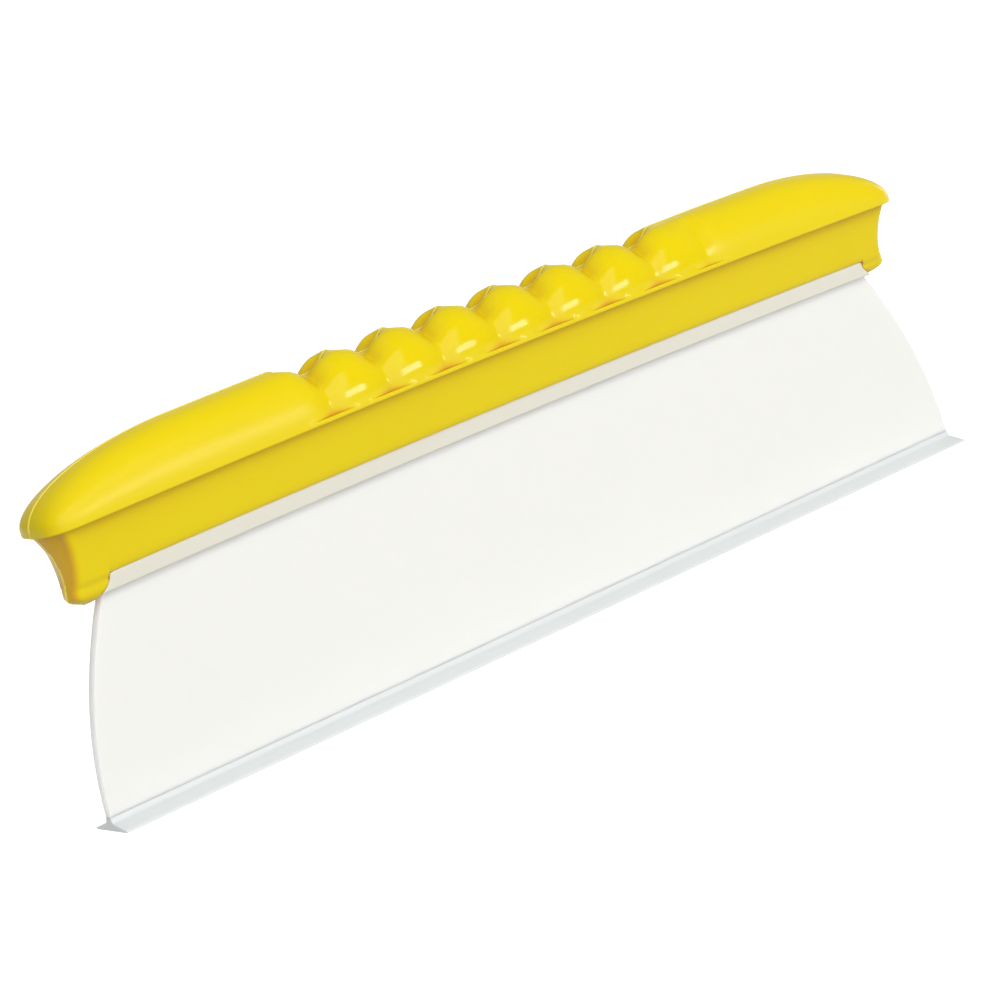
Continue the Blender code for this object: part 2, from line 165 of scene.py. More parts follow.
# Blade
BEAD_HALF_LENGTH = BEAD_HIGH[0]
BEAD_BOTTOM_Z = 58.5 * MM
BEAD_HALF_WIDTH_TOP = 4.6 * MM
BEAD_HALF_WIDTH_BOTTOM = 4.0 * MM
NECK_HALF_WIDTH = 1.6 * MM
SHEET_HALF_TOP = 1.7 * MM
SHEET_HALF_BOTTOM = 1.2 * MM
SHEET_HALF_LENGTH = 156.0 * MM
SHEET_END_BOW = 15.8 * MM           # how much shorter each end is at the top
SHEET_END_ROUND = 0.3 * MM
SHEET_END_MARGIN = 2.6 * MM         # the closely spaced columns at each end lie in it
SHEET_COLUMNS = 80
END_COLUMNS = (0.0, 0.05, 0.15, 0.3, 0.8, 1.3, 2.2)     # millimetres in from the end
SHEET_ROWS = 30
SHEET_ARCH_START = 40.0 * MM        # above it the sheet takes on the handle's arch

# Edge bar: an upside-down T
BAR_HALF_LENGTH = BAR_HIGH[0]
BAR_HALF_WIDTH = BAR_HIGH[1]
BAR_LIP = 0.55 * MM                 # thickness at its two long edges
BAR_FOOT_HALF_WIDTH = 2.3 * MM      # where the flank turns up into the sheet
BAR_FOOT_Z = 2.0 * MM
BAR_NECK_Z = 3.6 * MM
BAR_FLANK_ROWS = 5
BAR_STATIONS = 60
BAR_END_SOFTNESS = 0.25 * MM

# Finishes: paler and darker colour, roughness range, bumps as (scale, depth), and the
# weight, tint and depth of the light scattered inside
PLASTIC_BUMPS = ((30.0, 0.03 * MM), (1500.0, 0.001 * MM))
SILICONE_BUMPS = ((60.0, 0.04 * MM), (1800.0, 0.002 * MM))
SILICONE_ROUGHNESS = (0.28, 0.42)
SILICONE_GLOW = (1.0, 0.95, 0.85)
FINISHES = {
    "yellow_plastic": ((0.72, 0.565, 0.0005, 1.0), (0.69, 0.535, 0.0005, 1.0),
                       (0.09, 0.14), PLASTIC_BUMPS, 0.2, (1.0, 0.4, 0.05), 2.0 * MM),
    # painted highlight: the parting line's ridge in a paler, brighter yellow
    "parting_ridge_highlight": ((0.95, 0.76, 0.12, 1.0), (0.92, 0.73, 0.10, 1.0),
                      (0.2, 0.3), PLASTIC_BUMPS, 0.4, (1.0, 0.7, 0.2), 1.0 * MM),
    "sheet_silicone": ((0.745, 0.745, 0.72, 1.0), (0.73, 0.73, 0.705, 1.0),
                       SILICONE_ROUGHNESS, SILICONE_BUMPS, 1.0, SILICONE_GLOW, 3.5 * MM),
    # painted light: the sheet's cut ends much paler than the sheet itself
    "cut_silicone_painted_light": ((0.93, 0.96, 0.97, 1.0), (0.91, 0.94, 0.95, 1.0),
                     SILICONE_ROUGHNESS, SILICONE_BUMPS, 1.0, SILICONE_GLOW, 3.5 * MM),
    # creamier and darker than the sheet: partly the bead's own thicker silicone, partly painted
    # shade under the stem
    "bead_silicone": ((0.67, 0.65, 0.56, 1.0), (0.65, 0.63, 0.54, 1.0),
                      SILICONE_ROUGHNESS, SILICONE_BUMPS, 0.4, SILICONE_GLOW, 1.5 * MM),
    "edge_silicone": ((0.66, 0.69, 0.695, 1.0), (0.64, 0.67, 0.675, 1.0),
                      SILICONE_ROUGHNESS, SILICONE_BUMPS, 0.6, (0.95, 1.0, 1.0), 2.0 * MM),
}
PLASTIC_SPECULAR = 0.2
GRIP_ROUGHNESS = 0.1                # on the finger bumps
PLAIN_ROUGHNESS = 0.32              # on the rest of the handle
# Painted shade: a darker orange mixed into the plastic in creases and hollows
CREASE_SHADE_TINT = (0.58, 0.29, 0.0, 1.0)
CREASE_SHADE_REACH = 26.0 * MM
CREASE_SHADE_OPENNESS = (0.62, 0.98)      # openness with the full painted shade and with none
# Painted shade on the stem's walls that face along the handle: its colour and how much of it
END_WALL_SHADE_TINT = (0.70, 0.33, 0.02, 1.0)
END_WALL_SHADE_SHARE = 0.6

# Camera: angles in degrees, lens in millimetres
CAMERA_AZIMUTH = -34.47
CAMERA_ELEVATION = 10.64
CAMERA_ROLL = -16.2
CAMERA_DISTANCE = 922.67 * MM
CAMERA_TARGET = (-3.8 * MM, 11.0 * MM, 36.9 * MM)
CAMERA_LENS = 117.3
CAMERA_SENSOR = 36.0

# Studio: radii and heights in metres, glows as emission strengths
FLOOR_DROP = 0.02 * MM
FLOOR_RADIUS = 200.0
FLOOR_GLOW = 0.72
BACKDROP_RADIUS = 8.0
BACKDROP_HEIGHT = 12.0
BACKDROP_GLOW = 0.8
PAPER_WHITE = (0.85, 0.85, 0.85, 1.0)
SKY_STRENGTH = 0.42
LIGHT_AIM = (0.0, 0.0, 80.0 * MM)
# (name, direction, distance, width, height, radiance, tint)
LIGHTS = (
    ("broad_box", (-0.20, -0.86, 0.45), 1.7, 2.2, 1.8, 2.35, (1.0, 1.0, 1.0)),
    ("ceiling", (-0.20, 0.00, 1.00), 2.0, 1.6, 1.6, 0.3, (1.0, 1.0, 1.0)),
    ("window_box", (0.42, -0.89, 0.15), 1.5, 0.56, 0.22, 13.0, (1.0, 1.0, 1.0)),
    ("right_strip", (0.97, 0.18, 0.12), 1.5, 0.12, 0.6, 9.0, (1.0, 1.0, 1.0)),
    ("warm_fill", (-0.90, 0.40, 0.12), 1.5, 1.0, 1.0, 0.2, (1.0, 0.72, 0.5)),
    ("rear_box", (0.45, 0.85, 0.25), 2.0, 2.0, 1.6, 0.4, (1.0, 1.0, 1.0)),
)


# ---------------------------------------------------------------- shape rules

def smooth(t):
    """Smooth step from 0 to 1."""
    t = min(1.0, max(0.0, t))
    return t * t * (3.0 - 2.0 * t)


def arch(x):
    """Height that the handle's slight arch adds at x."""
    return ARCH_RISE * max(0.0, 1.0 - (x / HALF_LENGTH) ** 2)


def valley_xs():
    """X of each groove bottom, on both sides of every bump."""
    first = BUMP_CENTRE_X - BUMP_COUNT * BUMP_PITCH / 2.0
    return [first + i * BUMP_PITCH for i in range(BUMP_COUNT + 1)]


VALLEYS = valley_xs()


def groove(x, across):
    """Groove fraction: 1 in a groove's bottom, 0 on a crest or on the smooth cap."""
    away = min(abs(x - valley) for valley in VALLEYS)
    u = min(1.0, away / HALF_PITCH)
    scoop = math.sin(0.5 * math.pi * u ** SCOOP_SHAPE) ** 2
    soft = VALLEY_SOFTNESS
    softened = (math.hypot(u, soft) - soft) / (math.hypot(1.0, soft) - soft)
    lobe = (1.0 - (1.0 - min(1.0, softened)) ** LOBE_SHAPE) ** LOBE_FULLNESS
    aside = smooth(across / SCOOP_REACH)
    depth = 1.0 - scoop - (lobe - scoop) * aside
    if x > VALLEYS[-1] - HALF_PITCH:
        depth *= LAST_GROOVE * smooth((across - LAST_GROOVE_START) / LAST_GROOVE_REACH)
    near_rim = smooth((across - RIM_FADE_START) / (1.0 - RIM_FADE_START))
    return depth * (1.0 - RIM_FADE * near_rim)


def crest_drop(x):
    """How far the whole grip lies below the smooth cap at x."""
    enter = smooth((x - VALLEYS[0] + HALF_PITCH) / HALF_PITCH)
    leave = smooth((VALLEYS[-1] + HALF_PITCH - x) / BUMP_PITCH)
    return CREST_DROP * min(enter, leave)


def cap_rise(x, inset):
    """Height of the smooth cap's top above its rim at x."""
    full = CAP_TOP - LIP_Z - RIM_HEIGHT - inset
    tip = HALF_LENGTH - inset
    into_sweep = (abs(x) - (tip - SWEEP_LENGTH)) / SWEEP_LENGTH
    if into_sweep <= 0.0:
        return full
    return full * math.sqrt(max(0.0, 1.0 - into_sweep ** 2))


def cap_outline(station, inset):
    """X and half-width of the cap's rim at a station."""
    x, around, side = station
    half_width = LIP_HALF_WIDTH - inset
    if side == 0:
        return x, half_width
    start = HALF_LENGTH - NOSE_LENGTH
    angle = 0.5 * math.pi * around
    power = 2.0 / NOSE_SQUARENESS
    reach = (NOSE_LENGTH - inset) * math.sin(angle) ** power
    return side * (start + reach), half_width * max(0.0, math.cos(angle)) ** power


def cap_point(station, across, inset):
    """Point on the dome; across is 0 at the top seam and 1 at the rim."""
    x, half_width = cap_outline(station, inset)
    up = max(0.0, 1.0 - across ** CAP_SQUARENESS) ** (1.0 / CAP_SQUARENESS)
    cut = groove(x, across)
    half_width -= GROOVE_DEPTH_SIDE * cut * min(1.0, half_width / LIP_HALF_WIDTH)
    rise = cap_rise(x, inset) - GROOVE_DEPTH_TOP * cut - crest_drop(x)
    base = LIP_Z + RIM_HEIGHT + arch(x)
    return x, half_width * across, base + rise * up


def stem_half_width(z, side):
    """Half-width of the stem's flat wall at height z; below it the cheeks tuck in."""
    if z >= STEM_BOTTOM_Z:
        rate = (STEM_HALF_WIDTH_TOP - STEM_HALF_WIDTH_BOTTOM) / (LIP_Z - STEM_BOTTOM_Z)
        return STEM_HALF_WIDTH_BOTTOM + rate * (z - STEM_BOTTOM_Z)
    depth = min(1.0, (STEM_BOTTOM_Z - z) / (STEM_BOTTOM_Z - CHEEK_BOTTOM_Z[side]))
    tuck = CHEEK_TUCK * smooth(depth / 0.14)
    return (STEM_HALF_WIDTH_BOTTOM - tuck) * (1.0 - depth ** CHEEK_ROUNDING) ** 0.5


def stem_end_x(z, side):
    """Half-length on the middle plane: flared top, neck, bulging cheek."""
    end = STEM_END_X[side]
    if z >= STEM_NECK_Z:
        up = (z - STEM_NECK_Z) / (LIP_Z - STEM_NECK_Z)
        return end + (STEM_TOP_X - end) * up ** STEM_FLARE
    depth = min(1.0, (STEM_NECK_Z - z) / (STEM_NECK_Z - CHEEK_BOTTOM_Z[side]))
    bulge = CHEEK_BULGE[side] * math.sin(math.pi * min(1.0, depth * 0.85))
    into = max(0.0, (depth - CHEEK_END_START) / (1.0 - CHEEK_END_START))
    return end + bulge - CHEEK_END_ROUND * into ** 2.3


def stem_outline(station, z, inset):
    """X and half-width of the stem at a station and height."""
    x, around, side = station
    end_side = side or (1 if x > 0.0 else -1)
    width = max(0.05 * MM, stem_half_width(z, end_side) - inset)
    if side == 0:
        return x, width
    start = HALF_LENGTH - NOSE_LENGTH
    end = stem_end_x(z, side) - inset
    up = max(0.0, (z - STEM_BOTTOM_Z) / (LIP_Z - STEM_BOTTOM_Z))
    setback = (0.3 + 3.0 * up ** 1.5) * MM
    radius = min(STEM_CORNER_RADIUS, 0.8 * width)
    corner_end = end - setback
    corner = around - STEM_END_FLAT
    if corner < 0.0:
        reach = start + (corner_end - radius - start) * around / STEM_END_FLAT
        return side * reach, width
    if corner < STEM_END_CORNER:
        angle = 0.5 * math.pi * corner / STEM_END_CORNER
        reach = corner_end - radius + radius * math.sin(angle)
        return side * reach, width - radius + radius * math.cos(angle)
    across = (1.0 - around) / (1.0 - STEM_END_FLAT - STEM_END_CORNER)
    return side * (end - setback * across ** 2), (width - radius) * across


def bottom_z(station):
    """Height of the stem's lower edge: low at the cheeks, arched between them."""
    x, _, side = station
    if side != 0:
        return CHEEK_BOTTOM_Z[side]
    past = abs(x) - CHEEK_INNER_X
    middle = STEM_BOTTOM_Z + arch(x)
    if past <= 0.0:
        return middle
    cheek = CHEEK_BOTTOM_Z[1 if x > 0.0 else -1]
    fall = smooth(past / CHEEK_STEP) ** 0.6
    return middle + (cheek - middle) * fall


# ---------------------------------------------------------------- handle shells

def stations():
    """Places along the handle: (x, part of the way round the nose, side)."""
    straight = HALF_LENGTH - NOSE_LENGTH
    xs = set()
    for valley in VALLEYS:
        for i in range(-STATIONS_PER_HALF_BUMP, STATIONS_PER_HALF_BUMP + 1):
            part = i / STATIONS_PER_HALF_BUMP
            xs.add(round(valley + HALF_PITCH * part * abs(part) ** 0.25, 7))
    for side, edge in ((-1, VALLEYS[0] - HALF_PITCH), (1, VALLEYS[-1] + HALF_PITCH)):
        x = edge + side * STATION_STEP
        while abs(x) < CHEEK_INNER_X:
            xs.add(round(x, 7))
            x += side * STATION_STEP
    for extra in (-0.2, 0.0, 0.08, 0.2, 0.35, 0.5, 0.65, 0.8, 1.2):
        xs.add(CHEEK_INNER_X + extra * MM)
        xs.add(-CHEEK_INNER_X - extra * MM)
    xs.add(straight)
    xs.add(-straight)
    line = [(x, 0.0, 0) for x in sorted(xs)]
    turn = [0.08, 0.16, 0.23, 0.3, 0.36, 0.42, 0.48, 0.54, 0.6, 0.66, 0.7, 0.76,
            0.82, 0.87, 0.91, 0.94, 0.958, 0.968, 0.976, 0.982, 0.987, 0.992,
            0.996, 0.999, 1.0]
    left = [(0.0, around, -1) for around in reversed(turn)]
    right = [(0.0, around, 1) for around in turn]
    return left + line + right


def dome_rows(half_width):
    """Fractions across the dome, dense at the parting line and towards the rim."""
    rows = []
    for index, distance in enumerate(SEAM_ROWS):
        limit = 0.03 + 0.02 * index
        rows.append(min(distance * MM / max(half_width, 0.1 * MM), limit))
    rows[0] = 0.0
    start = rows[-1]
    for i in range(1, DOME_ROWS + 1):
        angle = 0.5 * math.pi * i / DOME_ROWS
        rows.append(start + (1.0 - start) * math.sin(angle))
    return rows


def cheek_lean(z):
    """How far the cheeks' inner edge has moved outwards at height z."""
    depth = (STEM_BOTTOM_Z - z) / (STEM_BOTTOM_Z - CHEEK_BOTTOM_Z[-1])
    return CHEEK_LEAN * max(0.0, depth) ** 2.2


def shear(station, x, z):
    """Moves a cheek point outwards the lower it is, so its inner edge leans."""
    if abs(x) < CHEEK_INNER_X - 0.01 * MM or z >= STEM_BOTTOM_Z:
        return x
    room = max(0.0, 1.0 - (abs(x) - CHEEK_INNER_X) / CHEEK_LEAN_REACH)
    side = 1.0 if x > 0.0 else -1.0
    return x + side * cheek_lean(z) * room


def outer_section(station):
    """Outside of a shell's wall at a station, from the seam down to the lower edge."""
    low = bottom_z(station)
    rim_x, rim_width = cap_outline(station, 0.0)
    lip = LIP_Z + arch(rim_x)
    line = [cap_point(station, across, 0.0) for across in dome_rows(rim_width)]
    inward = min(1.0, rim_width / LIP_HALF_WIDTH)
    for inset, up in RIM_CORNER:
        line.append((rim_x, max(0.0, rim_width - inset * MM * inward), lip + RIM_HEIGHT * up))
    wall_x, wall_width = stem_outline(station, lip, 0.0)
    for part, drop in RIM_UNDERSIDE:
        line.append((rim_x + (wall_x - rim_x) * part,
                     rim_width + (wall_width - rim_width) * part, lip - drop * MM))
    top_z = lip - 0.45 * MM
    edge_z = STEM_BOTTOM_Z + arch(rim_x) + 0.7 * MM
    for row in range(STEM_ROWS + 1):
        z = top_z + (edge_z - top_z) * row / STEM_ROWS
        line.append(stem_outline(station, z, 0.0) + (z,))
    between_cheeks = edge_z - low < 2.0 * MM
    for part, inset in LOWER_EDGE:
        z = edge_z + (low - edge_z) * part
        at_x, width = stem_outline(station, z, inset * MM if between_cheeks else 0.0)
        line.append((shear(station, at_x, z), width, z))
    edge_x, edge_width = stem_outline(station, low, 0.9 * MM)
    line.append((shear(station, edge_x, low), edge_width, low))
    return line


def inner_section(station):
    """Inside of a shell's wall at a station: jaw, slot floor and hollow."""
    x, around, side = station
    low = bottom_z(station)
    jaw = JAW_HALF_GAP if side == 0 and abs(x) <= CHEEK_INNER_X else 0.0
    floor_z = STEM_BOTTOM_Z + JAW_HEIGHT + (arch(x) if side == 0 else 0.0)
    jaw_x = x
    if side != 0:
        jaw_x = side * (HALF_LENGTH - NOSE_LENGTH + 3.0 * MM * around)
    line = [(shear(station, jaw_x, low), jaw, low), (jaw_x, jaw, floor_z)]
    inner_x, inner_width = stem_outline(station, floor_z, WALL)
    line.append((inner_x, inner_width, floor_z + 0.3 * MM))
    step_z = LIP_Z + arch(cap_outline(station, 0.0)[0]) - 0.5 * MM
    line.append(stem_outline(station, step_z, WALL) + (step_z,))
    for across in (1.0, 0.95, 0.8, 0.5, 0.25, 0.0):
        line.append(cap_point(station, across, WALL))
    return line


def skin(mesh, rings):
    """Joins closed rings of vertices into one closed body, with its two ends capped."""
    count = len(rings[0])
    for low, high in zip(rings, rings[1:]):
        for i in range(count):
            j = (i + 1) % count
            mesh.faces.new((low[i], low[j], high[j], high[i]))
    mesh.faces.new(rings[0])
    mesh.faces.new(list(reversed(rings[-1])))
    mesh.normal_update()
    bmesh.ops.recalc_face_normals(mesh, faces=mesh.faces)


def new_piece(name, mesh, materials, sharp=38.0):
    """Object from a bmesh, smooth except at real edges, with its finishes."""
    data = bpy.data.meshes.new(name)
    mesh.to_mesh(data)
    mesh.free()
    data.shade_smooth()
    data.set_sharp_from_angle(angle=math.radians(sharp))
    for material in materials:
        data.materials.append(material)
    piece = bpy.data.objects.new(name, data)
    bpy.context.scene.collection.objects.link(piece)
    return piece


def raise_parting_line(mesh, outside):
    """Lifts the outer surface next to the middle plane into a fine moulding line."""
    mesh.normal_update()
    moves = []
    for vertex in mesh.verts:
        if not vertex[outside]:
            continue
        away = abs(vertex.co.y)
        height = 1.0 - smooth((away - PARTING_FLAT) / (PARTING_FADE - PARTING_FLAT))
        if height <= 0.0:
            continue
        normal = vertex.normal.copy()
        normal.y = 0.0
        if normal.length > 0.2:
            moves.append((vertex, normal.normalized() * PARTING_HEIGHT * height))
    for vertex, move in moves:
        vertex.co += move


def shell_piece(name, side, finishes):
    """Half of the handle as one closed body; side is -1 for front, +1 for rear.

    Its finishes are the plastic and a paler one along the parting line, a painted highlight on
    its ridge.
    """
    mesh = bmesh.new()
    outside = mesh.verts.layers.int.new("outside")
    rings = []
    for station in stations():
        outer = outer_section(station)
        ring = []
        for index, (x, width, z) in enumerate(outer + inner_section(station)):
            vertex = mesh.verts.new((x, side * max(width, SPLIT_GAP), z))
            vertex[outside] = 1 if index < len(outer) else 0
            ring.append(vertex)
        rings.append(ring)
    skin(mesh, rings)
    raise_parting_line(mesh, outside)
    bmesh.ops.remove_doubles(mesh, verts=mesh.verts, dist=0.002 * MM)
    bmesh.ops.dissolve_degenerate(mesh, dist=0.001 * MM, edges=mesh.edges)
    mesh.normal_update()
    bmesh.ops.recalc_face_normals(mesh, faces=mesh.faces)
    # faces on the parting ridge take the paler finish, a painted highlight
    for face in mesh.faces:
        near = abs(face.calc_center_median().y) < PARTING_HIGHLIGHT_BAND
        if near and all(vertex[outside] for vertex in face.verts):
            face.material_index = 1
    return new_piece(name, mesh, finishes)


# ---------------------------------------------------------------- blade

def sheet_half_length(z):
    """Half-length of the sheet at height z; its ends bow outwards."""
    return SHEET_HALF_LENGTH - SHEET_END_BOW * (z / JOINT_Z["blade_bend"]) ** 2


def bead_half_length(z):
    """Half-length of the bead at height z; its ends lean out along the cheeks."""
    return CHEEK_INNER_X - 0.05 * MM + cheek_lean(z)


def blade_rows():
    """Rows of the blade from bottom to top: (z, half-thickness, half-length, arch share)."""
    rows = []
    hinge = JOINT_Z["edge_rock"]
    for degrees in (-80, -60, -40, -20):
        turn = math.radians(degrees)
        rows.append((hinge + SHEET_HALF_BOTTOM * math.sin(turn),
                     SHEET_HALF_BOTTOM * math.cos(turn)))
    shoulder = BEAD_BOTTOM_Z - 0.35 * MM
    for i in range(SHEET_ROWS + 1):
        part = i / SHEET_ROWS
        z = hinge + (shoulder - hinge) * part
        rows.append((z, SHEET_HALF_BOTTOM + (SHEET_HALF_TOP - SHEET_HALF_BOTTOM) * part))
    arch_reach = shoulder - SHEET_ARCH_START
    rows = [(z, width, sheet_half_length(z), smooth((z - SHEET_ARCH_START) / arch_reach))
            for z, width in rows]
    top = STEM_BOTTOM_Z - 0.02 * MM
    low, full = BEAD_HALF_WIDTH_BOTTOM, BEAD_HALF_WIDTH_TOP
    bead = [(0.0, SHEET_HALF_TOP + 0.25 * MM), (0.0, low - 0.7 * MM),
            (0.12 * MM, low - 0.3 * MM), (0.35 * MM, low - 0.06 * MM), (0.7 * MM, low)]
    for up, width in bead:
        rows.append((BEAD_BOTTOM_Z + up, width, bead_half_length(BEAD_BOTTOM_Z + up), 1.0))
    for part in (0.3, 0.6, 0.85, 0.96):
        z = BEAD_BOTTOM_Z + 0.7 * MM + (top - BEAD_BOTTOM_Z - 0.7 * MM) * part
        rows.append((z, low + (full - low) * part, bead_half_length(z), 1.0))
    rows.append((top, full - 0.1 * MM, BEAD_HALF_LENGTH - 0.6 * MM, 1.0))
    rows.append((top, NECK_HALF_WIDTH, BEAD_HALF_LENGTH - 1.2 * MM, 1.0))
    rows.append((top + NECK_HEIGHT, NECK_HALF_WIDTH, BEAD_HALF_LENGTH - 1.2 * MM, 1.0))
    return rows


def blade_columns():
    """Columns along the blade: (share of the half-length, distance in from the end)."""
    middle = [(2.0 * i / SHEET_COLUMNS - 1.0, None) for i in range(1, SHEET_COLUMNS)]
    left = [(-1.0, distance * MM) for distance in END_COLUMNS]
    right = [(1.0, distance * MM) for distance in reversed(END_COLUMNS)]
    return left + middle + right


def column_place(column, half_length):
    """X of a column, and how much of the thickness it keeps at the rounded end."""
    share, distance = column
    if distance is None:
        return share * (half_length - SHEET_END_MARGIN), 1.0
    x = share * (half_length - distance)
    into = min(1.0, distance / SHEET_END_ROUND)
    return x, 0.82 + 0.18 * math.sqrt(max(0.0, 1.0 - (1.0 - into) ** 2))


def blade_piece(finishes):
    """Bead and sheet as one silicone moulding under the handle.

    Its finishes are those of the sheet, the bead, partly darkened with painted shade, and the
    sheet's two ends, made paler with painted light.
    """
    mesh = bmesh.new()
    grid = []
    rows = blade_rows()
    for z, width, half_length, share in rows:
        line = []
        for column in blade_columns():
            x, keep = column_place(column, half_length)
            height = z + arch(x) * share
            front = mesh.verts.new((x, -width * keep, height))
            rear = mesh.verts.new((x, width * keep, height))
            line.append((front, rear))
        grid.append(line)
    for row, (low, high) in enumerate(zip(grid, grid[1:])):
        bead_row = rows[row + 1][0] > BEAD_BOTTOM_Z
        # bead rows take the bead's finish, partly painted shade
        side_slot = 1 if bead_row else 0
        # the sheet's cut ends take the paler finish, painted light
        end_slot = 1 if bead_row else 2
        faces = []
        for i in range(len(low) - 1):
            faces.append((side_slot, low[i][0], low[i + 1][0], high[i + 1][0], high[i][0]))
            faces.append((side_slot, low[i][1], high[i][1], high[i + 1][1], low[i + 1][1]))
        faces.append((end_slot, low[0][0], high[0][0], high[0][1], low[0][1]))
        faces.append((end_slot, low[-1][0], low[-1][1], high[-1][1], high[-1][0]))
        for slot, *corners in faces:
            mesh.faces.new(corners).material_index = slot
    for line in (grid[0], grid[-1]):
        for a, b in zip(line, line[1:]):
            mesh.faces.new((a[0], a[1], b[1], b[0]))
    mesh.normal_update()
    bmesh.ops.recalc_face_normals(mesh, faces=mesh.faces)
    return new_piece("silicone_blade", mesh, finishes, sharp=50.0)


def bar_profile():
    """Half of the bar's section: rounded lip, straight flank, fillet up to the sheet."""
    lip_y = BAR_HALF_WIDTH
    half = [(lip_y - 0.2 * MM, 0.0), (lip_y - 0.06 * MM, 0.06 * MM),
            (lip_y, 0.2 * MM), (lip_y - 0.03 * MM, 0.38 * MM),
            (lip_y - 0.2 * MM, BAR_LIP)]
    start_y = lip_y - 0.2 * MM
    end_y = SHEET_HALF_BOTTOM + 0.05 * MM
    parts = [(i + 1) / BAR_FLANK_ROWS for i in range(BAR_FLANK_ROWS)]
    for part in parts:
        half.append((start_y + (BAR_FOOT_HALF_WIDTH - start_y) * part,
                     BAR_LIP + (BAR_FOOT_Z - BAR_LIP) * part))
    for part in parts:
        half.append((BAR_FOOT_HALF_WIDTH + (end_y - BAR_FOOT_HALF_WIDTH) * part,
                     BAR_FOOT_Z + (BAR_NECK_Z - BAR_FOOT_Z) * part ** 2.0))
    return half


def edge_piece(material):
    """Inverted T along the blade's free edge."""
    half = bar_profile()
    outline = half + [(-y, z) for y, z in reversed(half)]
    mesh = bmesh.new()
    xs = [BAR_HALF_LENGTH * (2.0 * i / BAR_STATIONS - 1.0) for i in range(1, BAR_STATIONS)]
    ends = [(-BAR_HALF_LENGTH, 0.15 * MM), (-BAR_HALF_LENGTH + BAR_END_SOFTNESS, 0.0)]
    places = ends + [(x, 0.0) for x in xs]
    places += [(-x, pull) for x, pull in reversed(ends)]
    rings = []
    for x, pull in places:
        ring = []
        for y, z in outline:
            side = 1.0 if y > 0.0 else -1.0
            ring.append(mesh.verts.new((x, y - side * min(abs(y), pull), z)))
        rings.append(ring)
    skin(mesh, rings)
    return new_piece("silicone_edge", mesh, (material,), sharp=50.0)


# ---------------------------------------------------------------- materials

def noise(nodes, links, coordinates, scale, detail):
    """Noise texture in the object's own metres."""
    texture = nodes.new("ShaderNodeTexNoise")
    texture.inputs["Scale"].default_value = scale
    texture.inputs["Detail"].default_value = detail
    links.new(coordinates.outputs["Object"], texture.inputs["Vector"])
    return texture


def spread(nodes, links, source, low, high):
    """Maps a 0 to 1 value onto a range."""
    node = nodes.new("ShaderNodeMapRange")
    node.inputs["To Min"].default_value = low
    node.inputs["To Max"].default_value = high
    links.new(source, node.inputs["Value"])
    return node.outputs["Result"]


def map_range(nodes, links, source, start, end):
    """Smooth ramp that is 0 at start and 1 at end."""
    ramp = nodes.new("ShaderNodeMapRange")
    ramp.interpolation_type = "SMOOTHSTEP"
    ramp.inputs["From Min"].default_value = start
    ramp.inputs["From Max"].default_value = end
    links.new(source, ramp.inputs["Value"])
    return ramp.outputs["Result"]


def surface(name, light, dark, rough, bumps, subsurface, radius, scale):
    """Moulded material: mottled colour, uneven gloss, and a broad and a fine bump."""
    material = bpy.data.materials.new(name)
    material.use_nodes = True
    nodes = material.node_tree.nodes
    links = material.node_tree.links
    shader = nodes["Principled BSDF"]
    coordinates = nodes.new("ShaderNodeTexCoord")
    mottle = noise(nodes, links, coordinates, 22.0, 3.0)
    mix = nodes.new("ShaderNodeMix")
    mix.data_type = "RGBA"
    mix.inputs["A"].default_value = light
    mix.inputs["B"].default_value = dark
    links.new(mottle.outputs["Fac"], mix.inputs["Factor"])
    links.new(mix.outputs["Result"], shader.inputs["Base Color"])
    gloss = noise(nodes, links, coordinates, 140.0, 4.0)
    links.new(spread(nodes, links, gloss.outputs["Fac"], rough[0], rough[1]),
              shader.inputs["Roughness"])
    height = None
    for scale_value, depth in bumps:
        texture = noise(nodes, links, coordinates, scale_value, 2.0)
        bump = nodes.new("ShaderNodeBump")
        bump.inputs["Strength"].default_value = 1.0
        bump.inputs["Distance"].default_value = depth
        links.new(texture.outputs["Fac"], bump.inputs["Height"])
        if height is not None:
            links.new(height.outputs["Normal"], bump.inputs["Normal"])
        height = bump
    links.new(height.outputs["Normal"], shader.inputs["Normal"])
    shader.inputs["Subsurface Weight"].default_value = subsurface
    shader.inputs["Subsurface Radius"].default_value = radius
    shader.inputs["Subsurface Scale"].default_value = scale
    return material


def paint_crease_shade(material):
    """Paints shade into creases and hollows: the more enclosed a point, the darker orange its
    colour.
    """
    nodes = material.node_tree.nodes
    links = material.node_tree.links
    shader = nodes["Principled BSDF"]
    occlusion = nodes.new("ShaderNodeAmbientOcclusion")
    occlusion.samples = 8
    occlusion.inputs["Distance"].default_value = CREASE_SHADE_REACH
    open_air = map_range(nodes, links, occlusion.outputs["AO"], *CREASE_SHADE_OPENNESS)
    mix = nodes.new("ShaderNodeMix")
    mix.data_type = "RGBA"
    mix.inputs["A"].default_value = CREASE_SHADE_TINT
    links.new(open_air, mix.inputs["Factor"])
    links.new(shader.inputs["Base Color"].links[0].from_socket, mix.inputs["B"])
    links.new(mix.outputs["Result"], shader.inputs["Base Color"])


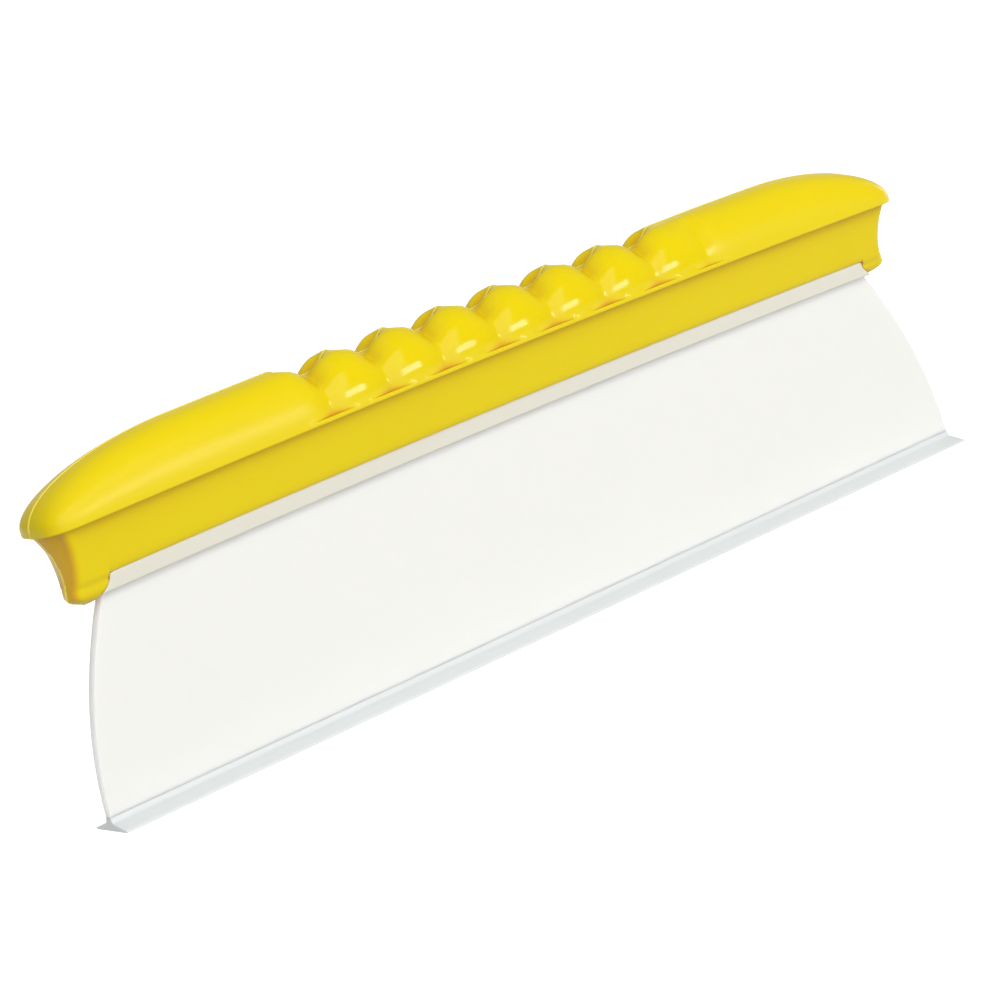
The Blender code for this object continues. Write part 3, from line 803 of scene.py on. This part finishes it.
def paint_end_wall_shade(material):
    """Paints shade, in a deeper orange, into the walls under the rim that face along the handle.
    """
    nodes = material.node_tree.nodes
    links = material.node_tree.links
    shader = nodes["Principled BSDF"]
    coordinates = nodes.new("ShaderNodeTexCoord")
    facing = nodes.new("ShaderNodeSeparateXYZ")
    links.new(coordinates.outputs["Normal"], facing.inputs["Vector"])
    place = nodes.new("ShaderNodeSeparateXYZ")
    links.new(coordinates.outputs["Object"], place.inputs["Vector"])
    along = nodes.new("ShaderNodeMath")
    along.operation = "ABSOLUTE"
    links.new(facing.outputs["X"], along.inputs[0])
    end_wall = map_range(nodes, links, along.outputs["Value"], 0.25, 0.85)
    under_rim = map_range(nodes, links, place.outputs["Z"], LIP_Z + 0.5 * MM, LIP_Z - 1.0 * MM)
    both = nodes.new("ShaderNodeMath")
    both.operation = "MULTIPLY"
    links.new(end_wall, both.inputs[0])
    links.new(under_rim, both.inputs[1])
    part = nodes.new("ShaderNodeMath")
    part.operation = "MULTIPLY"
    part.inputs[1].default_value = END_WALL_SHADE_SHARE
    links.new(both.outputs["Value"], part.inputs[0])
    mix = nodes.new("ShaderNodeMix")
    mix.data_type = "RGBA"
    links.new(part.outputs["Value"], mix.inputs["Factor"])
    links.new(shader.inputs["Base Color"].links[0].from_socket, mix.inputs["A"])
    mix.inputs["B"].default_value = END_WALL_SHADE_TINT
    links.new(mix.outputs["Result"], shader.inputs["Base Color"])


def polish_grip(material):
    """Makes the finger bumps, worn by hands, glossier than the rest of the handle."""
    nodes = material.node_tree.nodes
    links = material.node_tree.links
    coordinates = nodes.new("ShaderNodeTexCoord")
    split = nodes.new("ShaderNodeSeparateXYZ")
    links.new(coordinates.outputs["Object"], split.inputs["Vector"])
    offset = nodes.new("ShaderNodeMath")
    offset.operation = "SUBTRACT"
    offset.inputs[1].default_value = BUMP_CENTRE_X
    links.new(split.outputs["X"], offset.inputs[0])
    away = nodes.new("ShaderNodeMath")
    away.operation = "ABSOLUTE"
    links.new(offset.outputs["Value"], away.inputs[0])
    edge = BUMP_COUNT * HALF_PITCH
    along = map_range(nodes, links, away.outputs["Value"], edge - 2.0 * MM, edge + 6.0 * MM)
    below = map_range(nodes, links, split.outputs["Z"], LIP_Z + RIM_HEIGHT + 2.5 * MM,
                      LIP_Z + RIM_HEIGHT)
    plain = nodes.new("ShaderNodeMath")
    plain.operation = "MAXIMUM"
    links.new(along, plain.inputs[0])
    links.new(below, plain.inputs[1])
    rough = nodes.new("ShaderNodeMath")
    rough.operation = "MULTIPLY_ADD"
    rough.inputs[1].default_value = PLAIN_ROUGHNESS - GRIP_ROUGHNESS
    rough.inputs[2].default_value = GRIP_ROUGHNESS
    links.new(plain.outputs["Value"], rough.inputs[0])
    links.new(rough.outputs["Value"], nodes["Principled BSDF"].inputs["Roughness"])


def make_materials():
    """Yellow plastic for the handle and white silicone for the blade."""
    finishes = {name: surface(name, *finish) for name, finish in FINISHES.items()}
    plastic = finishes["yellow_plastic"]
    # painted shade in the creases and hollows
    paint_crease_shade(plastic)
    # painted shade on the walls that face along the handle
    paint_end_wall_shade(plastic)
    polish_grip(plastic)
    for name in ("yellow_plastic", "parting_ridge_highlight"):
        shader = finishes[name].node_tree.nodes["Principled BSDF"]
        shader.inputs["Specular IOR Level"].default_value = PLASTIC_SPECULAR
    return finishes


# ---------------------------------------------------------------- studio

def glowing_paper(name, glow):
    """Plain white paper that glows faintly."""
    material = bpy.data.materials.new(name)
    material.use_nodes = True
    shader = material.node_tree.nodes["Principled BSDF"]
    shader.inputs["Base Color"].default_value = PAPER_WHITE
    shader.inputs["Roughness"].default_value = 0.9
    shader.inputs["Specular IOR Level"].default_value = 0.1
    shader.inputs["Emission Color"].default_value = (1.0, 1.0, 1.0, 1.0)
    shader.inputs["Emission Strength"].default_value = glow
    return material


def stage_piece(name, mesh, material, z):
    """Links a piece of the studio that gives no diffuse light to the object."""
    data = bpy.data.meshes.new(name)
    mesh.to_mesh(data)
    mesh.free()
    piece = bpy.data.objects.new(name, data)
    piece.location = (0.0, 0.0, z)
    data.materials.append(material)
    bpy.context.scene.collection.objects.link(piece)
    piece.visible_diffuse = False
    return piece


def make_studio():
    """Wide white floor just under the working edge, and a round wall far behind it."""
    ground = CAD_BOX[0][2] - FLOOR_DROP
    floor = bmesh.new()
    bmesh.ops.create_circle(floor, cap_ends=True, segments=64, radius=FLOOR_RADIUS)
    stage_piece("floor", floor, glowing_paper("floor_paper", FLOOR_GLOW), ground)
    wall = bmesh.new()
    bmesh.ops.create_cone(wall, cap_ends=False, segments=96, radius1=BACKDROP_RADIUS,
                          radius2=BACKDROP_RADIUS, depth=BACKDROP_HEIGHT)
    bmesh.ops.reverse_faces(wall, faces=wall.faces)
    backdrop = stage_piece("backdrop", wall, glowing_paper("wall_paper", BACKDROP_GLOW), ground)
    backdrop.visible_glossy = False
    backdrop.visible_shadow = False
    backdrop.visible_transmission = False


def area_light(name, direction, distance, width, height, radiance, tint):
    """Soft box at a direction from the handle, given its brightness as radiance."""
    light = bpy.data.lights.new(name, "AREA")
    light.shape = "RECTANGLE"
    light.size = width
    light.size_y = height
    light.energy = radiance * math.pi * width * height
    light.color = tint
    lamp = bpy.data.objects.new(name, light)
    away = Vector(direction).normalized()
    lamp.location = Vector(LIGHT_AIM) + away * distance
    lamp.rotation_euler = away.to_track_quat("Z", "Y").to_euler()
    bpy.context.scene.collection.objects.link(lamp)


def make_colour():
    """Plain colour response, so that the white studio stays white."""
    bpy.context.scene.view_settings.view_transform = "Standard"


def make_light():
    """Broad box in front, small window-like box, strip at the right and weak fills."""
    world = bpy.data.worlds.new("studio")
    world.use_nodes = True
    background = world.node_tree.nodes["Background"]
    background.inputs["Color"].default_value = (1.0, 1.0, 1.0, 1.0)
    background.inputs["Strength"].default_value = SKY_STRENGTH
    bpy.context.scene.world = world
    for light in LIGHTS:
        area_light(*light)


def make_camera():
    """Camera at the photograph's viewing angle."""
    azimuth = math.radians(CAMERA_AZIMUTH)
    elevation = math.radians(CAMERA_ELEVATION)
    roll = math.radians(CAMERA_ROLL)
    back = Vector((math.sin(azimuth) * math.cos(elevation),
                   -math.cos(azimuth) * math.cos(elevation), math.sin(elevation)))
    level = Vector((0.0, 0.0, 1.0)).cross(back).normalized()
    upright = back.cross(level)
    right = math.cos(roll) * level + math.sin(roll) * upright
    up = math.cos(roll) * upright - math.sin(roll) * level
    place = Vector(CAMERA_TARGET) + back * CAMERA_DISTANCE
    data = bpy.data.cameras.new("camera")
    data.sensor_width = CAMERA_SENSOR
    data.lens = CAMERA_LENS
    data.clip_start = 0.01
    camera = bpy.data.objects.new("camera", data)
    turn = Matrix((right, up, back)).transposed().to_4x4()
    camera.matrix_world = Matrix.Translation(place) @ turn
    bpy.context.scene.collection.objects.link(camera)
    bpy.context.scene.camera = camera


def main():
    """Builds every piece, hands the shells and the edge to their CAD bodies, and sets up the
    studio.
    """
    finishes = make_materials()
    shell_finishes = (finishes["yellow_plastic"], finishes["parting_ridge_highlight"])
    blade_finishes = (finishes["sheet_silicone"], finishes["bead_silicone"],
                      finishes["cut_silicone_painted_light"])
    for name, side, node in (("front_handle_shell", -1, "front_shell"),
                             ("rear_handle_shell", 1, "rear_shell")):
        shell = shell_piece(name, side, shell_finishes)
        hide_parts(node)
        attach(shell, "handle")
    blade = blade_piece(blade_finishes)
    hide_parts("blade_bead", "blade_sheet")
    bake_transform(blade)
    edge = edge_piece(finishes["edge_silicone"])
    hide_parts("edge_bar")
    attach(edge, "edge")
    make_studio()
    make_light()
    make_colour()
    make_camera()


main()
